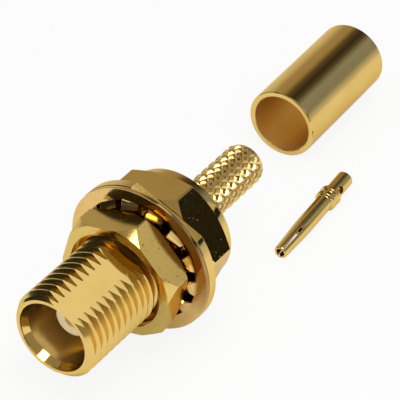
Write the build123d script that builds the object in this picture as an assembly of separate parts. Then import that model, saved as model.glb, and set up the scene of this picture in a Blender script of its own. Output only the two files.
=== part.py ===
from build123d import *
import math
import os

# A small gold-plated bulkhead jack with a push-on coaxial mouth, shown as a kit: the turned body
# with its insulator, lock washer and panel nut, and beside it the loose centre contact and crimp
# ferrule that go on when a cable is fitted. Millimetres. The connector's axis is X, the mating
# mouth opens along +X with its rim at X = 0, and +Z is up. Depths run back from the rim.

# Threaded barrel, its thread cut as rings at the real pitch
thread_r = 2.48
thread_root_r = 2.19
thread_pitch = 0.5
thread_crest_width = 0.1
thread_count = 12
thread_chamfer = 0.3
rim_outer_r = 2.2
barrel_length = 7.6
relief_r = 2.15
relief_width = 0.75
barrel_flat = 2.1
flat_angle = 23.0

# Mating bore
mouth_r = 2.0
lead_in_depth = 0.65
bore_r = 1.82
land_length = 1.2
snap_groove_depth = 0.16
snap_groove_width = 0.8
bore_depth = 4.6

# Flange that seats against the panel
flange_r = 4.3
flange_thickness = 0.55
flange_flat = 3.7
flange_edge = 0.06

# Hexagon and shoulder behind the flange
body_hex_flats = 6.7
body_hex_length = 2.4
body_hex_corner = 22.3
body_hex_front_r = 3.2
body_hex_front_run = 0.7
body_hex_rear_run = 0.42
shoulder_r = 3.3
shoulder_length = 0.6
shoulder_round = 0.22

# Crimp stem
stem_r = 1.2
stem_length = 6.3
stem_edge = 0.12
cable_bore_r = 0.8

# Insulator
insulator_r = 1.5
insulator_length = 4.2
nose_r = 0.95
nose_length = 2.7
nose_edge = 0.08
socket_entry_r = 0.4
socket_entry_length = 0.5
contact_bore_r = 0.52
collar_bore_r = 0.64
collar_bore_length = 2.1
insulator_clearance = 0.02

# Lock washer with twisted inner teeth
washer_inset = 0.02
washer_thickness = 0.22
washer_ring_width = 0.75
tooth_count = 14
tooth_root_width = 1.05
tooth_tip_width = 0.8
tooth_twist = 24.0
tooth_bend_length = 0.14
tooth_clearance = 0.12
tooth_turn = 18.5
seat_clearance = 0.01

# Panel nut
nut_flats = 6.35
nut_thickness = 1.7
nut_corner = 16.1
nut_face_r = 3.3
nut_chamfer_run = 0.62
nut_rear_run = 0.3
nut_countersink = 0.26
nut_thread_clearance = 0.05

# Centre contact, measured back from its tip
contact_length = 7.3
contact_tip_r = 0.385
contact_tip_round = 0.1
contact_taper_length = 2.3
contact_r = 0.485
collar_r = 0.63
collar_length = 0.29
collar_gap = 0.2
collar_place = 4.9
contact_barrel_r = 0.475
contact_pin_bore_r = 0.23
contact_pin_bore_depth = 3.3
contact_slot_length = 2.2
contact_slot_root_width = 0.19
contact_slot_tip_width = 0.04
contact_wire_bore_r = 0.28
contact_wire_bore_depth = 1.75
inspection_hole_r = 0.22
inspection_hole_place = 6.06
contact_slot_turn = 32.0
inspection_hole_turn = 62.0

# Crimp ferrule
ferrule_outer_r = 2.11
ferrule_bore_r = 1.76
ferrule_length = 8.25
ferrule_edge = 0.12

# Where the loose pieces lie, on the surface that the flange rests on
ferrule_behind_stem = 6.55
ferrule_across = -1.88
ferrule_turn = 1.8
contact_ahead_of_stem_end = 1.48
contact_across = 3.24
contact_turn = 2.4

# Working values: how far a cutter runs past the metal, a hair's width that keeps a hexagon's
# corner lines sharp, and how near two sizes count as equal
overrun = 1.0
hair = 0.01
same_size = 1e-6

# Places worked out from the sizes above
flange_face = -barrel_length
flange_back = flange_face - flange_thickness
hex_back = flange_back - body_hex_length
shoulder_back = hex_back - shoulder_length
stem_end = shoulder_back - stem_length
bore_floor = -bore_depth
insulator_back = bore_floor - insulator_length
floor_z = -flange_r
washer_r = flange_r - washer_inset
root_three = math.sqrt(3)
twist = math.radians(tooth_twist)
washer_back = flange_face + seat_clearance
ring_middle = washer_back + washer_thickness / 2
tooth_half_height = (tooth_root_width / 2 * math.sin(twist)
                     + washer_thickness / 2 * math.cos(twist))
tooth_middle = washer_back + tooth_half_height
nut_back = tooth_middle + tooth_half_height + seat_clearance
nut_front = nut_back + nut_thickness


def turned(outline):
    """A solid turned about the connector's axis, from (x, radius) corners."""
    return revolve(make_face(Polyline(*outline, close=True)), Axis.X)


def hexagon_bar(across_flats, corner_angle, x_back, length):
    """A hexagonal bar along X. corner_angle is one corner's turn from +Z towards +Y."""
    corner_r = across_flats / root_three
    turns = [math.radians(corner_angle + 60 * i) for i in range(6)]
    corners = [(corner_r * math.sin(t), corner_r * math.cos(t)) for t in turns]
    outline = Plane.YZ.offset(x_back) * Polygon(*corners, align=None)
    return extrude(outline, length, dir=(1, 0, 0))


def flat_cutter(distance, x_back, length):
    """A block that mills a flat along X, its face at the given distance from the axis."""
    reach = 2 * flange_r
    block = Box(length, 2 * reach, reach, align=(Align.MIN, Align.CENTER, Align.MIN))
    return Rot(-flat_angle, 0, 0) * Pos(x_back, 0, distance) * block


def thread_grooves():
    """The thread's grooves as (x, radius) corners, from the rim's chamfer back."""
    half = (thread_pitch - thread_crest_width) / 2
    corners = []
    for i in range(thread_count):
        middle = -thread_chamfer - thread_pitch * (i + 0.5)
        corners += [(middle + half, thread_r), (middle, thread_root_r), (middle - half, thread_r)]
    return corners


def barrel():
    """The threaded barrel, chamfered at the rim, with its flat."""
    relief_front = flange_face + relief_width
    outline = [
        (0, 0),
        (0, rim_outer_r),
        (-thread_chamfer, thread_r),
        *thread_grooves(),
        (relief_front + (thread_r - relief_r), thread_r),
        (relief_front, relief_r),
        (flange_face, relief_r),
        (flange_face, 0),
    ]
    return turned(outline) - flat_cutter(barrel_flat, flange_face, barrel_length + overrun)


def flange():
    """The round flange with its anti-turn flat, in line with the barrel's."""
    outline = [
        (flange_face, 0),
        (flange_face, flange_r - flange_edge),
        (flange_face - flange_edge, flange_r),
        (flange_back + flange_edge, flange_r),
        (flange_back, flange_r - flange_edge),
        (flange_back, 0),
    ]
    return turned(outline) - flat_cutter(flange_flat, flange_back, flange_thickness)


def body_hexagon():
    """The spanner hexagon, its corners turned off at both ends."""
    corner_r = body_hex_flats / root_three + hair
    outline = [
        (flange_back, 0),
        (flange_back, body_hex_front_r),
        (flange_back - body_hex_front_run, corner_r),
        (hex_back + body_hex_rear_run, corner_r),
        (hex_back, shoulder_r),
        (hex_back, 0),
    ]
    bar = hexagon_bar(body_hex_flats, body_hex_corner, hex_back, body_hex_length)
    return bar & turned(outline)


def shoulder_and_stem():
    """The round shoulder, its rear edge rounded, and the crimp stem."""
    outline = [
        (hex_back, 0),
        (hex_back, shoulder_r),
        (shoulder_back, shoulder_r),
        (shoulder_back, stem_r),
        (stem_end + stem_edge, stem_r),
        (stem_end, stem_r - stem_edge),
        (stem_end, 0),
    ]
    square = turned(outline)
    rear_edge = [
        e for e in square.edges().filter_by(GeomType.CIRCLE)
        if abs(e.radius - shoulder_r) < same_size and abs(e.center().X - shoulder_back) < same_size
    ]
    return fillet(rear_edge, shoulder_round)


def body_bores():
    """Everything bored out of the body: mouth, snap groove, insulator seat and cable bore."""
    land_end = -lead_in_depth - land_length
    groove_r = bore_r + snap_groove_depth
    groove_end = land_end - snap_groove_width
    outline = [
        (overrun, 0),
        (overrun, mouth_r),
        (0, mouth_r),
        (-lead_in_depth, bore_r),
        (land_end, bore_r),
        (land_end - snap_groove_depth, groove_r),
        (groove_end + snap_groove_depth, groove_r),
        (groove_end, bore_r),
        (bore_floor, bore_r),
        (bore_floor, insulator_r),
        (insulator_back, insulator_r),
        (insulator_back, cable_bore_r),
        (stem_end - overrun, cable_bore_r),
        (stem_end - overrun, 0),
    ]
    return turned(outline)


def connector_body():
    """The body, turned and milled from one bar."""
    solid = barrel() + flange() + body_hexagon() + shoulder_and_stem()
    return solid - body_bores()


def insulator():
    """The stepped insulator, its nose standing in the mating bore."""
    seat_r = insulator_r - insulator_clearance
    nose_front = bore_floor + nose_length
    entry_back = nose_front - socket_entry_length
    collar_front = insulator_back + collar_bore_length
    outline = [
        (nose_front, socket_entry_r),
        (nose_front, nose_r - nose_edge),
        (nose_front - nose_edge, nose_r),
        (bore_floor, nose_r),
        (bore_floor, seat_r),
        (insulator_back, seat_r),
        (insulator_back, collar_bore_r),
        (collar_front, collar_bore_r),
        (collar_front, contact_bore_r),
        (entry_back, contact_bore_r),
        (entry_back, socket_entry_r),
    ]
    return turned(outline)


def washer_tooth():
    """One inner tooth of the lock washer, pointing from +Z to the axis. It twists about Z, with
    its rear edge level with the ring's back."""
    ring_inner = washer_r - washer_ring_width
    tip = thread_r + tooth_clearance
    root_thickness = washer_thickness - 2 * seat_clearance
    bend_start = ring_inner + tooth_bend_length
    bend_end = ring_inner - tooth_bend_length
    sections = (
        (ring_middle, bend_start, tooth_root_width, root_thickness, 0),
        (tooth_middle, bend_end, tooth_root_width, washer_thickness, tooth_twist),
        (tooth_middle, tip, tooth_tip_width, washer_thickness, tooth_twist),
    )
    outlines = []
    for middle, height, width, thickness, turn in sections:
        plane = Plane((middle, 0, height)) * Rot(0, 0, turn)
        outlines.append(plane * Rectangle(thickness, width))
    return loft(outlines, ruled=True)


def lock_washer():
    """The lock washer: a flat ring that lies on the flange, with twisted inner teeth."""
    ring_inner = washer_r - washer_ring_width
    front = washer_back + washer_thickness
    outline = [
        (washer_back, ring_inner),
        (washer_back, washer_r),
        (front, washer_r),
        (front, ring_inner),
    ]
    tooth = washer_tooth()
    turns = [tooth_turn + 360 / tooth_count * i for i in range(tooth_count)]
    teeth = [Rot(-turn, 0, 0) * tooth for turn in turns]
    return turned(outline) + teeth


def panel_nut():
    """The thin panel nut, its corners turned off and its thread countersunk."""
    corner_r = nut_flats / root_three + hair
    nut_bore_r = thread_r + nut_thread_clearance
    outline = [
        (nut_front, nut_bore_r + nut_countersink),
        (nut_front, nut_face_r),
        (nut_front - nut_chamfer_run, corner_r),
        (nut_back + nut_rear_run, corner_r),
        (nut_back, nut_face_r),
        (nut_back, nut_bore_r + nut_countersink),
        (nut_back + nut_countersink, nut_bore_r),
        (nut_front - nut_countersink, nut_bore_r),
    ]
    return hexagon_bar(nut_flats, nut_corner, nut_back, nut_thickness) & turned(outline)


def bored_hole(near, far, radius):
    """A round hole on the X axis between two depths."""
    return turned([(-near, 0), (-near, radius), (-far, radius), (-far, 0)])


def contact_slot():
    """The saw cut that splits the contact's tip into two tines, closed up towards the tip."""
    root = contact_slot_root_width / 2
    tip = contact_slot_tip_width / 2
    corners = [
        (overrun, -tip),
        (0, -tip),
        (-contact_slot_length, -root),
        (-contact_slot_length, root),
        (0, tip),
        (overrun, tip),
    ]
    outline = make_face(Polyline(*corners, close=True))
    cut = extrude(outline, contact_r + overrun, both=True)
    return Rot(-contact_slot_turn, 0, 0) * cut


def contact_at_origin():
    """The centre contact with its tip at X = 0, pointing along +X."""
    barb = (collar_r - contact_r) / 2
    first_back = -collar_place - collar_length
    second_front = first_back - collar_gap
    second_back = second_front - collar_length
    outline = [
        (0, 0),
        (0, contact_tip_r - contact_tip_round),
        (-contact_tip_round, contact_tip_r),
        (-contact_taper_length, contact_r),
        (-collar_place, contact_r),
        (-collar_place - barb, collar_r),
        (first_back, collar_r),
        (first_back, contact_r),
        (second_front, contact_r),
        (second_front - barb, collar_r),
        (second_back, collar_r),
        (second_back, contact_barrel_r),
        (-contact_length, contact_barrel_r),
        (-contact_length, 0),
    ]
    contact = turned(outline)
    contact -= bored_hole(0, contact_pin_bore_depth, contact_pin_bore_r)
    wire_bore_front = contact_length - contact_wire_bore_depth
    contact -= bored_hole(wire_bore_front, contact_length, contact_wire_bore_r)
    contact -= contact_slot()
    hole = Cylinder(inspection_hole_r, contact_barrel_r + overrun,
                    align=(Align.CENTER, Align.CENTER, Align.MIN))
    contact -= Rot(-inspection_hole_turn, 0, 0) * Pos(-inspection_hole_place, 0, 0) * hole
    return contact


def centre_contact():
    """The loose centre contact, lying on its tip and its first collar."""
    lean = math.degrees(math.asin((collar_r - contact_tip_r) / collar_place))
    tip_x = stem_end + contact_ahead_of_stem_end
    place = Pos(tip_x, contact_across, floor_z + contact_tip_r)
    return place * Rot(0, 0, contact_turn) * Rot(0, lean, 0) * contact_at_origin()


def crimp_ferrule():
    """The loose crimp ferrule, a plain tube with broken rims, lying on its side."""
    outline = [
        (0, ferrule_bore_r),
        (0, ferrule_outer_r - ferrule_edge),
        (-ferrule_edge, ferrule_outer_r),
        (ferrule_edge - ferrule_length, ferrule_outer_r),
        (-ferrule_length, ferrule_outer_r - ferrule_edge),
        (-ferrule_length, ferrule_bore_r),
    ]
    place = Pos(stem_end - ferrule_behind_stem, ferrule_across, floor_z + ferrule_outer_r)
    return place * Rot(0, 0, ferrule_turn) * turned(outline)


def main():
    os.makedirs("parts", exist_ok=True)
    nodes = {
        "connector_body": connector_body(),
        "insulator": insulator(),
        "lock_washer": lock_washer(),
        "panel_nut": panel_nut(),
        "centre_contact": centre_contact(),
        "crimp_ferrule": crimp_ferrule(),
    }
    for name, shape in nodes.items():
        export_step(shape, f"parts/{name}.step")


main()
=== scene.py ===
import math

import bmesh
import bpy
from mathutils import Matrix, Vector


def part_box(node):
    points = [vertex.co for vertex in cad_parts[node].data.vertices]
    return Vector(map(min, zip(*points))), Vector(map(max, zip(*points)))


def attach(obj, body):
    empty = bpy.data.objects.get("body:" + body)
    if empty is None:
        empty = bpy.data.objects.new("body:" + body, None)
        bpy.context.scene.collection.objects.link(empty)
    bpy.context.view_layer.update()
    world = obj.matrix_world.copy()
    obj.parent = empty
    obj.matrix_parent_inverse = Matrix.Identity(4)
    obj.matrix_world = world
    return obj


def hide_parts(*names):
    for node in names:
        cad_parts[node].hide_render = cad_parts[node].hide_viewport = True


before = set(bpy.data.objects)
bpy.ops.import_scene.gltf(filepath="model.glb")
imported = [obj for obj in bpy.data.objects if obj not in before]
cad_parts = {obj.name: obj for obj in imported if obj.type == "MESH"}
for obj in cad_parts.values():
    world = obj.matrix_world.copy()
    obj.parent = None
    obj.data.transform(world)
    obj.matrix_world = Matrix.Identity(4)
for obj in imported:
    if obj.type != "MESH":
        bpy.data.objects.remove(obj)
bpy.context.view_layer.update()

# The look of a gold-plated bulkhead jack laid out with its loose contact and ferrule. Shapes are
# drawn in millimetres in the CAD frame, the jack's axis along X with its mouth at X = 0 opening
# along +X, and scaled to metres when each piece is finished.
MM = 0.001
ROUND_STEPS = 192
TINY = 1e-6
# How far joined solids reach into each other, the bend in degrees up to which a corner isn't
# eased, and the bend up to which faces are shaded as one
OVERLAP = 0.2
STRAIGHT_BEND = 12
SMOOTH_BEND = 25

# Thread of the barrel and the nut
thread_pitch = 0.5
thread_crest_r = 2.48
thread_root_r = 2.19
thread_crest_width = thread_pitch / 8
thread_flank_lean = 30
thread_steps = 120

# Barrel and mouth
barrel_length = 7.6
barrel_ease = 0.03
rim_outer_r = 2.2
relief_r = 2.15
relief_width = 0.75
barrel_flat = 2.1
flat_turn = 23.0
mouth_r = 2.0
lead_in_depth = 0.45
bore_r = 1.82
land_length = 2.4
snap_groove_depth = 0.16
snap_groove_width = 0.8
bore_depth = 4.6

# Flange, hexagon and shoulder
flange_r = 4.3
flange_thickness = 0.55
flange_flat = 3.7
flange_ease = 0.07
hexagon_flats = 6.7
hexagon_length = 2.4
hexagon_turn = 22.3
hexagon_front_r = 3.2
hexagon_front_run = 0.7
hexagon_rear_run = 0.42
shoulder_r = 3.3
shoulder_length = 0.6
shoulder_round = 0.22

# Knurled stem
stem_length = 6.3
stem_peak_r = 1.225
stem_root_r = 1.135
stem_end_r = 1.08
stem_plain_r = 1.16
stem_plain = 0.3
stem_ease = 0.08
neck_r = 1.17
neck_length = 0.4
knurl_count = 15
knurl_pitch = 0.667
knurl_land = 0.42
knurl_turn = 6.0
knurl_start = 0.323
knurl_rows = 19
cable_bore_r = 0.8

# Insulator
insulator_r = 1.5
insulator_clearance = 0.02
insulator_ease = 0.06
insulator_length = 4.2
nose_r = 0.92
nose_length = 3.05
socket_entry_r = 0.4
socket_entry_length = 0.5
contact_bore_r = 0.52
collar_bore_r = 0.64
collar_bore_length = 2.1

# Lock washer
washer_r = flange_r - 0.02
washer_thickness = 0.22
washer_ring_width = 0.75
washer_ease = 0.045
tooth_count = 14
tooth_root_width = 1.05
tooth_tip_width = 0.8
tooth_twist = 24.0
tooth_turn = 18.5
tooth_tip_r = thread_crest_r + 0.12
tooth_stations = 9
tooth_edge = 0.035

# Panel nut
nut_flats = 6.35
nut_turn = 16.1
nut_face_r = 3.3
nut_front_run = 0.62
nut_rear_run = 0.3
nut_countersink = 0.26
nut_clearance = 0.05

# Loose contact, measured back from its tip
contact_length = 7.3
contact_tip_r = 0.385
contact_taper = 2.3
contact_r = 0.485
collar_r = 0.63
collar_place = 4.9
collar_length = 0.29
collar_gap = 0.2
contact_barrel_r = 0.475
contact_ease = 0.05
pin_bore_r = 0.23
pin_bore_depth = 3.3
wire_bore_r = 0.28
wire_bore_depth = 1.75
slot_turn = 32.0
slot_length = 2.2
slot_root_width = 0.15
slot_tip_width = 0.01
hole_r = 0.22
hole_place = 6.06
hole_turn = 62.0
contact_ahead = 1.48
contact_beside = 3.24
contact_turn = 2.4

# Loose ferrule
ferrule_outer_r = 2.11
ferrule_bore_r = 1.76
ferrule_length = 8.25
ferrule_round = 0.13
ferrule_behind = 6.55
ferrule_beside = -1.88
ferrule_turn = 1.8

# Camera, fitted to the photo
camera_azimuth = 124.28
camera_elevation = 38.05
camera_place = (64.56, 52.86, 73.70)
lens_length = 202.05

# Places
flange_face = -barrel_length
flange_back = flange_face - flange_thickness
hexagon_back = flange_back - hexagon_length
shoulder_back = hexagon_back - shoulder_length
stem_end = shoulder_back - stem_length
floor_z = -flange_r
bore_floor = -bore_depth
insulator_back = bore_floor - insulator_length
washer_low, washer_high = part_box("lock_washer")
washer_back = washer_low.x / MM
ring_middle = washer_back + washer_thickness / 2
tooth_middle = (washer_low.x + washer_high.x) / 2 / MM
nut_low, nut_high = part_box("panel_nut")
nut_back, nut_front = nut_low.x / MM, nut_high.x / MM


# Shape tools

def in_scene(name, data):
    """An object in the scene made of its data."""
    made = bpy.data.objects.new(name, data)
    bpy.context.scene.collection.objects.link(made)
    return made


def piece_of(name, points, faces):
    """A mesh object from its corner points and faces, every face looking outwards."""
    mesh = bpy.data.meshes.new(name)
    mesh.from_pydata(points, [], faces)
    shape = in_scene(name, mesh)
    work = bmesh.new()
    work.from_mesh(mesh)
    bmesh.ops.recalc_face_normals(work, faces=work.faces)
    work.to_mesh(mesh)
    work.free()
    return shape


def around(x, radius, degrees):
    """A point at a turn from +Z towards +Y."""
    turn = math.radians(degrees)
    return (x, radius * math.sin(turn), radius * math.cos(turn))


def rolled(shape, degrees):
    """The shape rolled about X, from +Z towards +Y."""
    shape.data.transform(Matrix.Rotation(math.radians(-degrees), 4, "X"))
    return shape


def turned(outline, steps=ROUND_STEPS):
    """A solid turned about X from a closed outline of (x, radius) corners."""
    points = []
    rings = []
    for x, radius in outline:
        first = len(points)
        if radius < TINY:
            points.append((x, 0, 0))
            rings.append([first] * steps)
        else:
            points += [around(x, radius, 360 * i / steps) for i in range(steps)]
            rings.append(list(range(first, first + steps)))
    faces = []
    for near, far in zip(rings, rings[1:] + rings[:1]):
        for i in range(steps):
            j = (i + 1) % steps
            corners = list(dict.fromkeys((near[i], near[j], far[j], far[i])))
            if len(corners) > 2:
                faces.append(corners)
    return piece_of("turned", points, faces)


def eased(outline, size):
    """The outline with each corner away from the axis eased by a short curve."""
    eased_points = []
    for i, corner in enumerate(outline):
        here = Vector(corner)
        before = Vector(outline[i - 1]) - here
        after = Vector(outline[(i + 1) % len(outline)]) - here
        if here.y < TINY or before.angle(-after) < math.radians(STRAIGHT_BEND):
            eased_points.append(corner)
            continue
        reach = min(size, 0.4 * before.length, 0.4 * after.length)
        start = here + before.normalized() * reach
        end = here + after.normalized() * reach
        for share in (0, 0.33, 0.67, 1):
            eased_points.append(tuple(start.lerp(here, share).lerp(here.lerp(end, share), share)))
    return eased_points


def prism(outline, x_back, x_front):
    """A bar along X from a closed outline of (y, z) corners."""
    count = len(outline)
    points = [(x, y, z) for x in (x_back, x_front) for y, z in outline]
    sides = [(i, (i + 1) % count, count + (i + 1) % count, count + i) for i in range(count)]
    return piece_of("prism", points, [range(count), range(count, 2 * count)] + sides)


def hexagon(across_flats, corner_turn, x_back, x_front, corner_ease=0.05):
    """A hexagonal bar with its long edges just broken."""
    corner_r = across_flats / math.sqrt(3)
    corners = [Vector(around(0, corner_r, corner_turn + 60 * i)[1:]) for i in range(6)]
    outline = []
    for i, corner in enumerate(corners):
        before = (corners[i - 1] - corner).normalized()
        after = (corners[(i + 1) % 6] - corner).normalized()
        start, end = corner + before * corner_ease, corner + after * corner_ease
        outline += [start, corner.lerp((start + end) / 2, 0.55), end]
    return prism([tuple(point) for point in outline], x_back, x_front)


def flat_block(distance, x_back, x_front):
    """What is milled away beyond the flat."""
    reach = 3 * flange_r
    outline = [(-reach, distance), (reach, distance), (reach, reach), (-reach, reach)]
    return rolled(prism(outline, x_back, x_front), flat_turn)


def joined(base, other, how):
    """base after a boolean with other, which is used up. how is UNION, DIFFERENCE or INTERSECT."""
    step = base.modifiers.new("step", "BOOLEAN")
    step.operation = how
    step.object = other
    step.solver = "MANIFOLD"
    settled(base)
    bpy.data.objects.remove(other)
    return base


def settled(shape):
    """Works the shape's modifiers into its mesh."""
    ready = shape.evaluated_get(bpy.context.evaluated_depsgraph_get())
    mesh = bpy.data.meshes.new_from_object(ready)
    shape.modifiers.clear()
    shape.data = mesh


def threaded_rod(grown, x_back, x_front):
    """A rod with the right-hand thread, its radii grown by a clearance."""
    flank_run = (thread_crest_r - thread_root_r) * math.tan(math.radians(thread_flank_lean))
    root_width = thread_pitch - thread_crest_width - 2 * flank_run
    tooth = [
        (0, thread_root_r),
        (root_width, thread_root_r),
        (root_width + flank_run, thread_crest_r),
        (thread_pitch - flank_run, thread_crest_r),
    ]
    first_turn = math.floor(x_back / thread_pitch) - 1
    last_turn = math.ceil(x_front / thread_pitch) + 1
    rows = [(turn * thread_pitch + x, radius + grown)
            for turn in range(first_turn, last_turn) for x, radius in tooth]
    shift = len(tooth)
    points = []
    for x, radius in rows:
        for j in range(thread_steps):
            turn = 2 * math.pi * j / thread_steps
            points.append((x + thread_pitch * j / thread_steps,
                           radius * math.cos(turn), radius * math.sin(turn)))

    def at(row, j):
        return row * thread_steps + j

    last = len(rows) - 1
    seam = thread_steps - 1
    faces = []
    for row in range(last):
        for j in range(seam):
            faces.append((at(row, j), at(row + 1, j), at(row + 1, j + 1), at(row, j + 1)))
        if row + 1 + shift <= last:
            faces.append((at(row, seam), at(row + 1, seam), at(row + 1 + shift, 0),
                          at(row + shift, 0)))
    back = [at(0, j) for j in range(thread_steps)] + [at(shift - k, 0) for k in range(shift)]
    front = [at(last, j) for j in range(thread_steps)]
    front += [at(last - 1 - k, seam) for k in range(shift)]
    for loop, row in ((back, 0), (front, last)):
        centre = len(points)
        points.append((rows[row][0] + thread_pitch / 2, 0, 0))
        faces += [(centre, a, b) for a, b in zip(loop, loop[1:] + loop[:1])]
    return piece_of("thread", points, faces)


def knurled_rod(x_back, row_count):
    """A rod with a diamond knurl: rows of four-sided points with blunted tips."""
    half_pitch = knurl_pitch / 2
    width = 360 / knurl_count
    points = []
    for row in range(row_count + 1):
        x = x_back + row * half_pitch
        for i in range(knurl_count):
            degrees = knurl_turn + width * (i + 0.5 * (row % 2) + 0.5)
            points.append(around(x, stem_root_r, degrees))

    def groove(row, i):
        return row * knurl_count + i % knurl_count

    faces = []
    for row in range(1, row_count):
        x = x_back + row * half_pitch
        for i in range(knurl_count):
            degrees = knurl_turn + width * (i + 0.5 * (row % 2))
            beside = i - 1 + row % 2
            corners = (groove(row - 1, beside), groove(row, i), groove(row + 1, beside),
                       groove(row, i - 1))
            tip = len(points)
            for along, across in ((-1, 0), (0, 1), (1, 0), (0, -1)):
                points.append(around(x + along * knurl_land * half_pitch, stem_peak_r,
                                     degrees + across * knurl_land * width / 2))
            faces.append((tip, tip + 1, tip + 2, tip + 3))
            for k in range(4):
                after = (k + 1) % 4
                faces.append((tip + k, tip + after, corners[after], corners[k]))
    for row, inner in ((0, 1), (row_count, row_count - 1)):
        centre = len(points)
        points.append((x_back + row * half_pitch, 0, 0))
        for i in range(knurl_count):
            faces.append((groove(row, i), groove(row, i + 1), centre))
            faces.append((groove(row, i), groove(row, i + 1), groove(inner, i + row % 2)))
    return piece_of("knurl", points, faces)


# The jack's pieces

def barrel():
    """The threaded barrel with its run-out, relief and milled flat."""
    over = thread_crest_r + 0.04
    relief_front = flange_face + relief_width
    envelope = [
        (0, 0),
        (0, rim_outer_r),
        (rim_outer_r - over, over),
        (relief_front + over - relief_r, over),
        (relief_front, relief_r),
        (relief_front, 0),
    ]
    shape = joined(threaded_rod(0, flange_face, 0.5), turned(eased(envelope, barrel_ease)),
                   "INTERSECT")
    relief = [
        (relief_front + OVERLAP, 0),
        (relief_front + OVERLAP, relief_r),
        (flange_face - OVERLAP, relief_r),
        (flange_face - OVERLAP, 0),
    ]
    shape = joined(shape, turned(relief), "UNION")
    return joined(shape, flat_block(barrel_flat, flange_face - 1, 1), "DIFFERENCE")


def flange():
    """The flange with its anti-turn flat."""
    outline = [(flange_face, 0), (flange_face, flange_r), (flange_back, flange_r),
               (flange_back, 0)]
    shape = turned(eased(outline, flange_ease))
    return joined(shape, flat_block(flange_flat, flange_back - 1, flange_face + 1), "DIFFERENCE")


def body_hexagon():
    """The spanner hexagon, chamfered at both ends."""
    corner_r = hexagon_flats / math.sqrt(3) + 0.01
    front = flange_back + OVERLAP
    outline = [
        (front, 0),
        (front, hexagon_front_r),
        (flange_back, hexagon_front_r),
        (flange_back - hexagon_front_run, corner_r),
        (hexagon_back + hexagon_rear_run, corner_r),
        (hexagon_back, shoulder_r),
        (hexagon_back, 0),
    ]
    bar = hexagon(hexagon_flats, hexagon_turn, hexagon_back - 1, front + 1)
    return joined(bar, turned(outline), "INTERSECT")


def shoulder():
    """The shoulder with its rounded rear edge, and the neck behind it."""
    front = hexagon_back + OVERLAP
    outline = [
        (front, 0),
        (front, shoulder_r),
        (shoulder_back, shoulder_r),
        (shoulder_back, neck_r),
        (shoulder_back - neck_length, neck_r),
        (shoulder_back - neck_length, 0),
    ]
    return turned(eased(outline, shoulder_round))


def stem():
    """The knurled stem with its plain, narrower end."""
    first = stem_end + knurl_start - knurl_pitch
    plain_end = stem_end + stem_plain
    envelope = [
        (stem_end, 0),
        (stem_end, stem_end_r),
        (stem_end + 0.12, stem_plain_r - 0.01),
        (plain_end, stem_plain_r),
        (plain_end + 0.05, stem_peak_r + 0.03),
        (shoulder_back, stem_peak_r + 0.03),
        (shoulder_back, 0),
    ]
    return joined(knurled_rod(first, knurl_rows), turned(eased(envelope, stem_ease)), "INTERSECT")


def body_bores():
    """What is bored away: the mouth, the snap groove, the insulator's seat and the cable bore."""
    land_end = -lead_in_depth - land_length
    groove_r = bore_r + snap_groove_depth
    groove_end = land_end - snap_groove_width
    outline = [
        (1, 0),
        (1, mouth_r + 0.03),
        (0.02, mouth_r + 0.03),
        (-0.03, mouth_r),
        (-0.1, mouth_r - 0.01),
        (-lead_in_depth, bore_r),
        (land_end, bore_r),
        (land_end - snap_groove_depth, groove_r),
        (groove_end + snap_groove_depth, groove_r),
        (groove_end, bore_r),
        (bore_floor, bore_r),
        (bore_floor, insulator_r),
        (insulator_back, insulator_r),
        (insulator_back, cable_bore_r),
        (stem_end + 0.05, cable_bore_r),
        (stem_end - 0.01, cable_bore_r + 0.06),
        (stem_end - 1, cable_bore_r + 0.06),
        (stem_end - 1, 0),
    ]
    return turned(outline)


def connector_body():
    """The whole turned and milled body."""
    body = barrel()
    for part in (flange(), body_hexagon(), shoulder(), stem()):
        body = joined(body, part, "UNION")
    return joined(body, body_bores(), "DIFFERENCE")


def insulator():
    """The insulator, its nose standing in the mouth and bored for the contact."""
    seat_r = insulator_r - insulator_clearance
    nose_front = bore_floor + nose_length
    entry_back = nose_front - socket_entry_length
    collar_front = insulator_back + collar_bore_length
    outline = [
        (nose_front, socket_entry_r),
        (nose_front, nose_r),
        (bore_floor, nose_r),
        (bore_floor, seat_r),
        (insulator_back, seat_r),
        (insulator_back, collar_bore_r),
        (collar_front, collar_bore_r),
        (collar_front, contact_bore_r),
        (entry_back, contact_bore_r),
        (entry_back, socket_entry_r),
    ]
    return turned(eased(outline, insulator_ease))


def washer_tooth(turn):
    """One twisted tooth, from inside the ring to its tip near the thread."""
    ring_inner = washer_r - washer_ring_width
    root = ring_inner + 0.15
    points = []
    for k in range(tooth_stations):
        share = k / (tooth_stations - 1)
        height = root + (tooth_tip_r - root) * share
        bend = min(1, max(0, (share - 0.06) / 0.42))
        eased_bend = bend * bend * (3 - 2 * bend)
        angle = math.radians(tooth_twist) * eased_bend
        middle = ring_middle + (tooth_middle - ring_middle) * eased_bend
        width = tooth_root_width + (tooth_tip_width - tooth_root_width) * share
        width += 0.35 * max(0, 0.25 - share)
        thick = washer_thickness - 0.02 * (share < 0.1)
        a, b = thick / 2, width / 2
        near_a, near_b = a - tooth_edge, b - tooth_edge
        ring = [(near_a, b), (a, near_b), (a, -near_b), (near_a, -b),
                (-near_a, -b), (-a, -near_b), (-a, near_b), (-near_a, b)]
        for across, along in ring:
            x = across * math.cos(angle) - along * math.sin(angle)
            y = across * math.sin(angle) + along * math.cos(angle)
            points.append((middle + x, y, height))
    faces = [range(8), range(8 * (tooth_stations - 1), 8 * tooth_stations)]
    for k in range(tooth_stations - 1):
        for i in range(8):
            j = (i + 1) % 8
            faces.append((8 * k + i, 8 * k + j, 8 * k + 8 + j, 8 * k + 8 + i))
    return rolled(piece_of("tooth", points, faces), turn)


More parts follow.
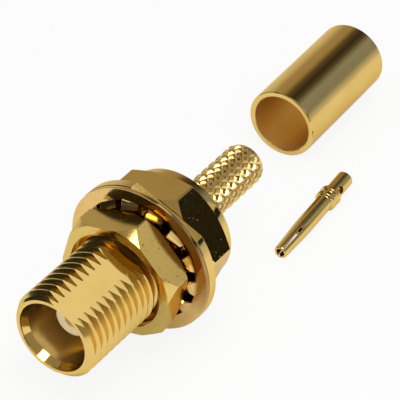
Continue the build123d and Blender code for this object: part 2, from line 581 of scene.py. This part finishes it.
def lock_washer():
    """The washer's ring with its twisted teeth."""
    ring_inner = washer_r - washer_ring_width
    front = washer_back + washer_thickness
    outline = [(washer_back, ring_inner), (washer_back, washer_r), (front, washer_r),
               (front, ring_inner)]
    washer = turned(eased(outline, washer_ease))
    for i in range(tooth_count):
        washer = joined(washer, washer_tooth(tooth_turn + 360 / tooth_count * i), "UNION")
    return washer


def panel_nut():
    """The threaded nut, chamfered outside and countersunk inside."""
    corner_r = nut_flats / math.sqrt(3) + 0.01
    outline = [
        (nut_front, 0),
        (nut_front, nut_face_r),
        (nut_front - nut_front_run, corner_r),
        (nut_back + nut_rear_run, corner_r),
        (nut_back, nut_face_r),
        (nut_back, 0),
    ]
    nut = joined(hexagon(nut_flats, nut_turn, nut_back - 1, nut_front + 1),
                 turned(outline), "INTERSECT")
    wide = thread_crest_r + nut_clearance + nut_countersink
    narrow = thread_root_r + nut_clearance
    run = wide - narrow
    countersinks = [
        (nut_front + 0.5, 0),
        (nut_front + 0.5, wide + 0.02),
        (nut_front + 0.02, wide + 0.02),
        (nut_front - 0.02, wide - 0.02),
        (nut_front - run, narrow),
        (nut_back + run, narrow),
        (nut_back - 0.02, wide + 0.02),
        (nut_back - 0.5, wide + 0.02),
        (nut_back - 0.5, 0),
    ]
    nut = joined(nut, turned(countersinks), "DIFFERENCE")
    return joined(nut, threaded_rod(nut_clearance, nut_back - 0.5, nut_front + 0.5), "DIFFERENCE")


# The loose pieces, drawn with their own axis along X

def centre_contact():
    """The contact with its two barbed collars, its slotted tip and its inspection hole."""
    barb = (collar_r - contact_r) / 2
    first_back = -collar_place - collar_length
    second_front = first_back - collar_gap
    second_back = second_front - collar_length
    outline = [
        (-pin_bore_depth, 0),
        (-pin_bore_depth, pin_bore_r),
        (-0.04, pin_bore_r),
        (0, pin_bore_r + 0.04),
        (0, contact_tip_r - 0.06),
        (-0.08, contact_tip_r),
        (-contact_taper, contact_r),
        (-collar_place, contact_r),
        (-collar_place - barb, collar_r),
        (first_back, collar_r),
        (first_back, contact_r),
        (second_front, contact_r),
        (second_front - barb, collar_r),
        (second_back, collar_r),
        (second_back, contact_barrel_r),
        (-contact_length, contact_barrel_r),
        (-contact_length, wire_bore_r),
        (wire_bore_depth - contact_length, wire_bore_r),
        (wire_bore_depth - contact_length, 0),
    ]
    contact = turned(eased(outline, contact_ease), 96)
    reach = contact_r + 0.5
    points = []
    for z in (-reach, reach):
        for x, width in ((0.5, slot_tip_width), (0, slot_tip_width), (-slot_length, slot_root_width)):
            points += [(x, width / 2, z), (x, -width / 2, z)]
    faces = [(0, 1, 3, 5, 4, 2), (6, 7, 9, 11, 10, 8), (0, 1, 7, 6), (4, 5, 11, 10),
             (0, 2, 8, 6), (2, 4, 10, 8), (1, 3, 9, 7), (3, 5, 11, 9)]
    slot = rolled(piece_of("slot", points, faces), slot_turn)
    contact = joined(contact, slot, "DIFFERENCE")
    hole = turned([(0, 0), (0, hole_r), (1, hole_r), (1, 0)], 48)
    hole.data.transform(Matrix.Translation((-hole_place, 0, 0))
                        @ Matrix.Rotation(math.radians(-hole_turn), 4, "X")
                        @ Matrix.Rotation(math.radians(-90), 4, "Y"))
    return joined(contact, hole, "DIFFERENCE")


def crimp_ferrule():
    """A plain tube with rounded rims."""
    outline = [(0, ferrule_bore_r), (0, ferrule_outer_r), (-ferrule_length, ferrule_outer_r),
               (-ferrule_length, ferrule_bore_r)]
    return turned(eased(outline, ferrule_round))


def contact_place():
    """Lying on its tip and its first collar, beside the stem."""
    lean = math.asin((collar_r - contact_tip_r) / collar_place)
    tip = Vector((stem_end + contact_ahead, contact_beside, floor_z + contact_tip_r)) * MM
    return (Matrix.Translation(tip) @ Matrix.Rotation(math.radians(contact_turn), 4, "Z")
            @ Matrix.Rotation(lean, 4, "Y"))


def ferrule_place():
    """Lying on its side behind the stem."""
    rim = Vector((stem_end - ferrule_behind, ferrule_beside, floor_z + ferrule_outer_r)) * MM
    return Matrix.Translation(rim) @ Matrix.Rotation(math.radians(ferrule_turn), 4, "Z")


# Finishes

class Reading:
    """A number on its way through a material. Sums, products and powers make the maths nodes."""

    def __init__(self, bench, socket):
        self.bench = bench
        self.socket = socket

    def worked(self, operation, first, second):
        made = self.bench.node("ShaderNodeMath", {"operation": operation}, {0: first, 1: second})
        return Reading(self.bench, made.outputs[0])

    def __add__(self, other):
        return self.worked("ADD", self, other)

    def __radd__(self, other):
        return self.worked("ADD", other, self)

    def __sub__(self, other):
        return self.worked("SUBTRACT", self, other)

    def __rsub__(self, other):
        return self.worked("SUBTRACT", other, self)

    def __mul__(self, other):
        return self.worked("MULTIPLY", self, other)

    def __rmul__(self, other):
        return self.worked("MULTIPLY", other, self)

    def __truediv__(self, other):
        return self.worked("DIVIDE", self, other)

    def __pow__(self, other):
        return self.worked("POWER", self, other)

    def above(self, edge, softness):
        """0 below the edge and 1 above it, with a soft step between."""
        made = self.bench.node(
            "ShaderNodeMapRange", {"interpolation_type": "SMOOTHSTEP"},
            {0: self, 1: edge - softness, 2: edge + softness, 3: 0.0, 4: 1.0})
        return Reading(self.bench, made.outputs[0])


class Bench:
    """Where a material's or the world's nodes are put together."""

    def __init__(self, owner):
        owner.use_nodes = True
        self.tree = owner.node_tree
        self.tree.nodes.clear()

    def node(self, kind, settings, inputs):
        """A node of a kind, with its settings, and its inputs linked or set."""
        made = self.tree.nodes.new(kind)
        for name, value in settings.items():
            setattr(made, name, value)
        for key, value in inputs.items():
            if isinstance(value, Reading):
                value = value.socket
            if isinstance(value, bpy.types.NodeSocket):
                self.tree.links.new(value, made.inputs[key])
            else:
                made.inputs[key].default_value = value
        return made

    def place(self):
        """The spot on the piece in millimetres, as x, y and z."""
        spot = self.node("ShaderNodeTexCoord", {}, {}).outputs["Object"]
        parts = self.node("ShaderNodeSeparateXYZ", {}, {0: spot}).outputs
        return [Reading(self, part) / MM for part in parts]

    def vector(self, x, y, z):
        return self.node("ShaderNodeCombineXYZ", {}, {0: x, 1: y, 2: z}).outputs[0]

    def ray(self, kind):
        """1 where the ray that looks is of this kind, and 0 elsewhere."""
        return Reading(self, self.node("ShaderNodeLightPath", {}, {}).outputs[kind])

    def noise(self, vector, detail=2.0, roughness=0.5, scale=1.0):
        inputs = {"Vector": vector, "Scale": scale, "Detail": detail, "Roughness": roughness}
        return Reading(self, self.node("ShaderNodeTexNoise", {}, inputs).outputs[0])

    def colours(self, share, first, second):
        """The first colour turning into the second as the share goes from 0 to 1."""
        settings = {"data_type": "RGBA", "clamp_factor": True}
        return self.node("ShaderNodeMix", settings, {0: share, 6: first, 7: second}).outputs[2]

    def bump(self, height, depth_mm):
        """The surface's direction with small heights worked in."""
        inputs = {"Height": height, "Distance": depth_mm * MM, "Strength": 1.0}
        return self.node("ShaderNodeBump", {}, inputs).outputs[0]

    def mixed(self, share, first, second):
        """The first shader turning into the second as the share goes from 0 to 1."""
        return self.node("ShaderNodeMixShader", {}, {0: share, 1: first, 2: second}).outputs[0]

    def finish(self, inputs):
        """Ends a material with its one shader."""
        shader = self.node("ShaderNodeBsdfPrincipled", {}, inputs)
        self.node("ShaderNodeOutputMaterial", {}, {0: shader.outputs[0]})


def gold(slot, clean, deep, polish, grain_depth, mark_depth, pit_share, wear_and_painted_light=None,
         tint=(0, 0, 0, 1)):
    """Gold plate: turning marks round the axis, fine grain and a few dull pits. The argument before
    the tint gives the extra dullness of a spot, how far its pits are let in, and how far it has
    turned to the tint; that tint is painted light in the bores, painted shade on the washer's ring
    and a paler tone on the knurl."""
    material = bpy.data.materials.new(slot + "_look")
    bench = Bench(material)
    x, y, z = bench.place()
    from_axis = (y * y + z * z) ** 0.5
    dull, pitted, tinted = wear_and_painted_light(x, y, z, from_axis) if wear_and_painted_light else (0.0, 1.0, 0.0)
    marks = bench.noise(bench.vector(x * 9, from_axis * 9, 0.0), 2.0, 0.6)
    clouds = bench.noise(bench.vector(x * 0.7, y * 0.7, z * 0.7), 3.0, 0.55)
    grain = bench.noise(bench.vector(x * 5, y * 5, z * 5), 3.0, 0.6)
    specks = bench.noise(bench.vector(x * 6 + 3.7, y * 6, z * 6), 1.0, 0.4)
    pits = specks.above(0.80 - pit_share, 0.03) * pitted
    colour = bench.colours(clouds.above(0.52, 0.22), clean, deep)
    # The tint: painted light in the bores, painted shade on the washer's ring, a paler tone on the
    # knurl
    colour = bench.colours(tinted, colour, tint)
    colour = bench.colours(pits * 0.4, colour, (0.30, 0.16, 0.05, 1))
    roughness = polish + grain * 0.08 + pits * 0.12 + dull
    normal = bench.bump(grain * grain_depth + marks * mark_depth - pits * 0.002, 1.0)
    bench.finish({"Base Color": colour, "Metallic": 1.0, "Roughness": roughness,
                  "Specular Tint": (0.85, 0.72, 0.50, 1), "Normal": normal})
    return material


def along_turn(y, z, degrees):
    """How far a spot lies from the axis along a turn from +Z towards +Y."""
    turn = math.radians(degrees)
    return y * math.sin(turn) + z * math.cos(turn)


def body_wear_and_painted_light(x, y, z, from_axis):
    """Dull on the thread's flanks, pitted on the hexagon and paler on the knurl. The satin bore is
    tinted pale as painted light, standing in for the light it takes in from the mouth and from its
    own walls."""
    on_flat = along_turn(y, z, flat_turn).above(barrel_flat - 0.02, 0.01)
    thread = from_axis.above(thread_root_r - 0.04, 0.02) * (1 - from_axis.above(2.6, 0.02))
    thread = thread * x.above(flange_face, 0.02) * (1 - on_flat)
    knurl = 1 - x.above(shoulder_back, 0.02)
    hexagon_part = x.above(hexagon_back, 0.02) * (1 - x.above(flange_back, 0.02))
    # Painted light: the bore's wall turns to the pale tint where it would lie in shade
    bore = (1 - from_axis.above(bore_r + 0.01, 0.005)) * (1 - x.above(-lead_in_depth, 0.02))
    bore = bore * x.above(bore_floor - 0.02, 0.01)
    return thread * 0.1 + knurl * 0.1 + bore * 0.18, hexagon_part, bore + knurl * 0.3


def washer_painted_shade(x, y, z, from_axis):
    """Painted shade: the ring turns dark red-brown on its right side, standing in for the shade and
    warm reflections there.
    """
    side = along_turn(y, z, painted_shade_turn) / from_axis
    ring = from_axis.above(washer_r - washer_ring_width, 0.06)
    return 0.0, 1.0, side.above(0.74, 0.22) * ring * 0.6


def ferrule_satin_and_painted_light(x, y, z, from_axis):
    """Satin inside, and a little brighter there: painted light lifting the shade in the tube."""
    inside = 1 - from_axis.above(ferrule_bore_r + 0.03, 0.02)
    return inside * 0.35, 1.0, inside


def fluoropolymer():
    """Waxy cream plastic with faint turning rings."""
    material = bpy.data.materials.new("fluoropolymer_look")
    bench = Bench(material)
    x, y, z = bench.place()
    from_axis = (y * y + z * z) ** 0.5
    rings = bench.noise(bench.vector(x * 8, from_axis * 8, 0.0), 2.0, 0.5)
    clouds = bench.noise(bench.vector(x, y, z), 2.0, 0.5)
    colour = bench.colours(clouds.above(0.5, 0.25), (0.97, 0.79, 0.49, 1), (0.94, 0.75, 0.45, 1))
    bench.finish({"Base Color": colour, "Roughness": 0.45 + rings * 0.1,
                  "Subsurface Weight": 0.2, "Subsurface Radius": (0.5, 0.4, 0.3),
                  "Subsurface Scale": 0.5 * MM, "Normal": bench.bump(rings, 0.003)})
    return material


def black_cloth():
    """The cloth of the cards, matt and almost black."""
    material = bpy.data.materials.new("black_cloth")
    bench = Bench(material)
    weave = bench.noise(bench.vector(*bench.place()))
    cloth = bench.colours(weave, (0.010, 0.010, 0.008, 1), (0.016, 0.015, 0.012, 1))
    bench.finish({"Base Color": cloth, "Roughness": 0.9, "Specular IOR Level": 0.0})
    return material


# Which way the washer's painted shade faces, in degrees from +Z towards +Y
painted_shade_turn = 64.0
gold_light = (0.80, 0.57, 0.185, 1)
gold_deep = (0.77, 0.53, 0.165, 1)
gold_olive = (0.72, 0.53, 0.15, 1)
gold_warm = (0.80, 0.56, 0.21, 1)
gold_red = (0.78, 0.49, 0.17, 1)
# Pale gold, the knurl's paler tone and the painted light in the bore
gold_pale_and_painted_light = (0.96, 0.78, 0.40, 1)
# Bright gold of the painted light inside the ferrule
gold_painted_light = (0.92, 0.65, 0.24, 1)
# Dark red-brown of the washer's painted shade
gold_painted_shade = (0.22, 0.07, 0.03, 1)
looks = {
    "body_gold": gold("body_gold", gold_light, gold_deep, 0.04, 0.0008, 0.0003, 0.045, body_wear_and_painted_light,
                      gold_pale_and_painted_light),
    "washer_gold": gold("washer_gold", gold_warm, gold_red, 0.10, 0.003, 0.0, 0.0, washer_painted_shade,
                        gold_painted_shade),
    "nut_gold": gold("nut_gold", gold_olive, gold_deep, 0.11, 0.002, 0.0005, 0.09),
    "contact_gold": gold("contact_gold", gold_light, gold_deep, 0.14, 0.001, 0.0004, 0.0),
    "ferrule_gold": gold("ferrule_gold", gold_light, gold_deep, 0.05, 0.0008, 0.0, 0.03,
                         ferrule_satin_and_painted_light, gold_painted_light),
    "fluoropolymer": fluoropolymer(),
    "black_cloth": black_cloth(),
}


def sides_of(across_flats, corner_turn):
    """Which way each side of a hexagon faces, and how far out it lies."""
    return [(Vector(around(0, 1, corner_turn + 30 + 60 * i)), across_flats / 2) for i in range(6)]


def shaded(shape, flats):
    """Smooth shading. The flats and the end faces stay flat, and large faces set the shading of
    the eased edges beside them."""
    shape.data.polygons.foreach_set("use_smooth", [True] * len(shape.data.polygons))
    shape.data.set_sharp_from_angle(angle=math.radians(SMOOTH_BEND))
    for face in shape.data.polygons:
        if abs(face.normal.x) > 0.9999:
            face.use_smooth = False
        for way, distance in flats:
            if face.normal.dot(way) > 0.9999 and abs(face.center.dot(way) - distance) < 0.01:
                face.use_smooth = False
    weights = shape.modifiers.new("weights", "WEIGHTED_NORMAL")
    weights.mode = "FACE_AREA_WITH_ANGLE"
    weights.keep_sharp = True
    settled(shape)


def dressed(shape, name, node, body, slot, place=Matrix.Identity(4), flats=()):
    """Names and shades a finished piece, scales it to metres and lets it stand for its node."""
    shaded(shape, flats)
    shape.name = shape.data.name = name
    shape.data.transform(Matrix.Scale(MM, 4))
    shape.matrix_world = place
    shape.data.materials.clear()
    shape.data.materials.append(looks[slot])
    shape.data.polygons.foreach_set("material_index", [0] * len(shape.data.polygons))
    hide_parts(node)
    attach(shape, body)


flat_way = Vector(around(0, 1, flat_turn))
milled_flats = [(flat_way, barrel_flat), (flat_way, flange_flat)]
dressed(connector_body(), "body_threaded", "connector_body", "connector", "body_gold",
        flats=milled_flats + sides_of(hexagon_flats, hexagon_turn))
dressed(insulator(), "insulator_cream", "insulator", "connector", "fluoropolymer")
dressed(lock_washer(), "washer_twisted", "lock_washer", "washer", "washer_gold")
dressed(panel_nut(), "nut_threaded", "panel_nut", "nut", "nut_gold",
        flats=sides_of(nut_flats, nut_turn))
dressed(centre_contact(), "contact_slotted", "centre_contact", "connector", "contact_gold",
        contact_place())
dressed(crimp_ferrule(), "ferrule_plain", "crimp_ferrule", "connector", "ferrule_gold",
        ferrule_place())


# Studio

white = (1, 1, 1, 1)


def backdrop_floor():
    """A pale floor with soft shadows. The camera sees it nearly as white paper, and metal sees
    some of that paper too."""
    back, front, side = -300 * MM, 40 * MM, 150 * MM
    edges = ((back, -side), (front, -side), (front, side), (back, side))
    points = [(x, y, floor_z * MM) for x, y in edges]
    floor = piece_of("floor", points, [(0, 1, 2, 3)])
    material = bpy.data.materials.new("paper")
    bench = Bench(material)
    x, y = bench.place()[:2]
    tone = bench.noise(bench.vector(x * 0.02, y * 0.02, 0.0))
    paper = bench.colours(tone, (0.69, 0.69, 0.69, 1), (0.71, 0.71, 0.71, 1))
    direct = bench.ray("Is Camera Ray") + bench.ray("Is Transmission Ray")
    share = direct * 0.9 + bench.ray("Is Glossy Ray") * 0.3
    shade = bench.node("ShaderNodeBsdfDiffuse", {}, {0: paper}).outputs[0]
    glow = bench.node("ShaderNodeEmission", {}, {0: white, 1: 0.98}).outputs[0]
    bench.node("ShaderNodeOutputMaterial", {}, {0: bench.mixed(share, shade, glow)})
    floor.data.materials.append(material)


def studio_world():
    """White to the camera and plain light on everything. Metal sees a room: its tones follow the
    turn about the jack's axis, a warm grey on the mouth's side, and dark straight before it."""
    world = bpy.data.worlds.new("studio")
    bpy.context.scene.world = world
    bench = Bench(world)
    way = bench.node("ShaderNodeTexCoord", {}, {}).outputs["Generated"]
    x, y, z = [Reading(bench, s) for s in bench.node("ShaderNodeSeparateXYZ", {}, {0: way}).outputs]
    turn = y.worked("ARCTAN2", y, z) / (2 * math.pi) + 0.5
    ramp = bench.node("ShaderNodeValToRGB", {}, {0: turn})
    stops = ramp.color_ramp.elements
    # Tones by the turn about the jack's axis, in degrees from straight up towards +Y: dark
    # overhead and pale low at the sides, as the photo's gold shows them
    tones = (
        (-90, (0.76, 0.78, 0.86)),
        (-76, (0.62, 0.61, 0.70)),
        (-60, (0.43, 0.37, 0.31)),
        (-36, (0.39, 0.32, 0.24)),
        (-20, (0.12, 0.09, 0.06)),
        (0, (0.03, 0.03, 0.035)),
        (14, (0.085, 0.08, 0.075)),
        (34, (0.30, 0.34, 0.45)),
        (66, (0.27, 0.31, 0.41)),
        (88, (0.66, 0.67, 0.72)),
        (110, (0.88, 0.88, 0.88)),
    )
    while len(stops) < len(tones):
        stops.new(0.5)
    for stop, (degrees, tone) in zip(stops, tones):
        stop.position = degrees / 360 + 0.5
        stop.color = (*tone, 1)
    room_tone = bench.colours(x.above(-0.12, 0.3), ramp.outputs[0], (0.34, 0.30, 0.25, 1))
    room_tone = bench.colours(x.above(0.85, 0.1), room_tone, (0.05, 0.045, 0.04, 1))
    plain = bench.node("ShaderNodeBackground", {}, {0: white, 1: 1.0}).outputs[0]
    room = bench.node("ShaderNodeBackground", {}, {0: room_tone, 1: 1.0}).outputs[0]
    direct = bench.ray("Is Camera Ray") + bench.ray("Is Transmission Ray")
    reflected = bench.mixed(bench.ray("Is Glossy Ray"), plain, room)
    bench.node("ShaderNodeOutputWorld", {}, {0: bench.mixed(direct, reflected, plain)})


def aimed(thing, place, aim):
    """Puts a lamp or a card at its place and turns it to its aim, both in mm."""
    thing.location = Vector(place) * MM
    thing.rotation_euler = (Vector(aim) - Vector(place)).to_track_quat("-Z", "Y").to_euler()


def dark_card(name, place, aim, width, height):
    """A dark card beyond the camera's view that only the metal reflects. Places are in mm."""
    corners = [(sx * width / 2 * MM, sy * height / 2 * MM, 0)
               for sx, sy in ((-1, -1), (1, -1), (1, 1), (-1, 1))]
    card = piece_of(name, corners, [(0, 1, 2, 3)])
    aimed(card, place, aim)
    card.visible_camera = False
    card.visible_diffuse = False
    card.visible_shadow = False
    card.data.materials.append(looks["black_cloth"])


def soft_box(name, place, aim, width, height, glow, tone=(1, 1, 1)):
    """A rectangular lamp of an even glow, 1 being white, facing its aim. Places are in mm."""
    light = bpy.data.lights.new(name, "AREA")
    light.shape = "RECTANGLE"
    light.size = width * MM
    light.size_y = height * MM
    light.energy = math.pi * light.size * light.size_y * glow
    light.color = tone
    aimed(in_scene(name, light), place, aim)


def photo_camera():
    """The camera from which the photo was taken."""
    azimuth, elevation = math.radians(camera_azimuth), math.radians(camera_elevation)
    back = Vector((math.sin(azimuth) * math.cos(elevation),
                   -math.cos(azimuth) * math.cos(elevation), math.sin(elevation)))
    lens = bpy.data.cameras.new("photo")
    lens.sensor_width = 36.0
    lens.lens = lens_length
    lens.clip_start = 0.005
    lens.clip_end = 10.0
    camera = in_scene("photo", lens)
    camera.location = Vector(camera_place) * MM
    camera.rotation_euler = back.to_track_quat("Z", "Y").to_euler()
    bpy.context.scene.camera = camera


backdrop_floor()
studio_world()
soft_box("overhead", (3, 17, 60), (3, 17, 0), 40, 28, 5.7)
soft_box("over_barrel", (-38.5, 11, 58), (-38.5, 11, 0), 29, 26, 0.9)
soft_box("over_flange", (-56, 11, 58), (-56, 11, 0), 6, 26, 0.3, (1.0, 0.85, 0.6))
soft_box("right_window", (-69, 67, 45), (-7, 2.7, 2.1), 30, 30, 0.38, (1.0, 0.85, 0.5))
dark_card("hexagon_card", (-48.7, 45.3, 17.5), (-9.7, 2.65, 2.05), 16, 13)
dark_card("left_card", (20, -27, 12), (20, 0, 12), 52, 40)
photo_camera()
bpy.context.scene.view_settings.view_transform = "Standard"
